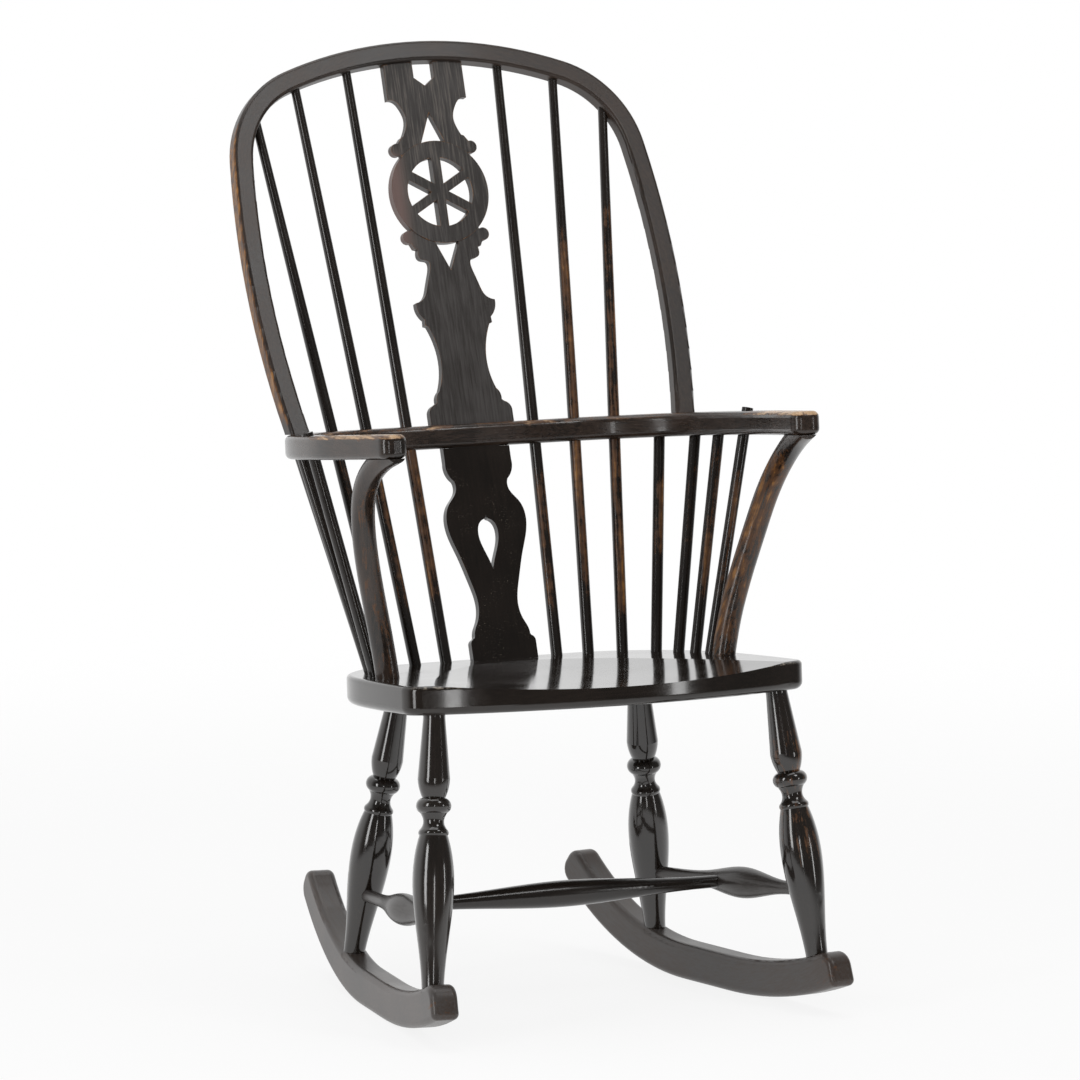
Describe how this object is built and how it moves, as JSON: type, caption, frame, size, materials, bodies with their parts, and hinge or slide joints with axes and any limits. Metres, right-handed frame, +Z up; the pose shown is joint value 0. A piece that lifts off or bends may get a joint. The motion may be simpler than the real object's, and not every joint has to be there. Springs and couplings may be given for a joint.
{
  "type": "hoop back rocking chair",
  "caption": "Wooden hoop back armchair on curved rockers, with turned legs, a bent arm bow, spindles and a pierced splat with a wheel.",
  "frame": {"origin": "on the floor under the middle of the chair's overall width and length", "axes": "+Z up, +X to the sitter's left, -Y the way the chair faces"},
  "size_m": [0.5776, 0.6302, 1.0693],
  "materials": {
    "seat": "gloss varnish, near black brown, worn along the front edge",
    "rocker": "satin, grey brown, worn at the front tips",
    "leg": "gloss varnish, near black",
    "stretcher": "satin varnish, dark brown",
    "arm_bow": "satin varnish, worn to golden brown at the ends",
    "arm_support": "satin varnish, worn to amber",
    "hoop": "satin varnish, dark brown, amber at the worn edges",
    "splat": "satin, grey black",
    "splat_lower": "gloss varnish, black",
    "spindle": "satin varnish, dark brown with amber wear"
  },
  "bodies": {
    "root": {"arm_bow": "arm_bow", "arm_support_left": "arm_support", "arm_support_right": "arm_support", "back_hoop": "hoop", "cross_stretcher": "stretcher", "leg_front_left": "leg", "leg_front_right": "leg", "leg_rear_left": "leg", "leg_rear_right": "leg", "long_spindle_1_left": "spindle", "long_spindle_1_right": "spindle", "long_spindle_2_left": "spindle", "long_spindle_2_right": "spindle", "long_spindle_3_left": "spindle", "long_spindle_3_right": "spindle", "lower_splat": "splat_lower", "rocker_left": "rocker", "rocker_right": "rocker", "seat": "seat", "short_spindle_1_left": "spindle", "short_spindle_1_right": "spindle", "short_spindle_2_left": "spindle", "short_spindle_2_right": "spindle", "short_spindle_3_left": "spindle", "short_spindle_3_right": "spindle", "short_spindle_4_left": "spindle", "short_spindle_4_right": "spindle", "side_stretcher_left": "stretcher", "side_stretcher_right": "stretcher", "upper_splat": "splat"}
  },
  "joints": []
}
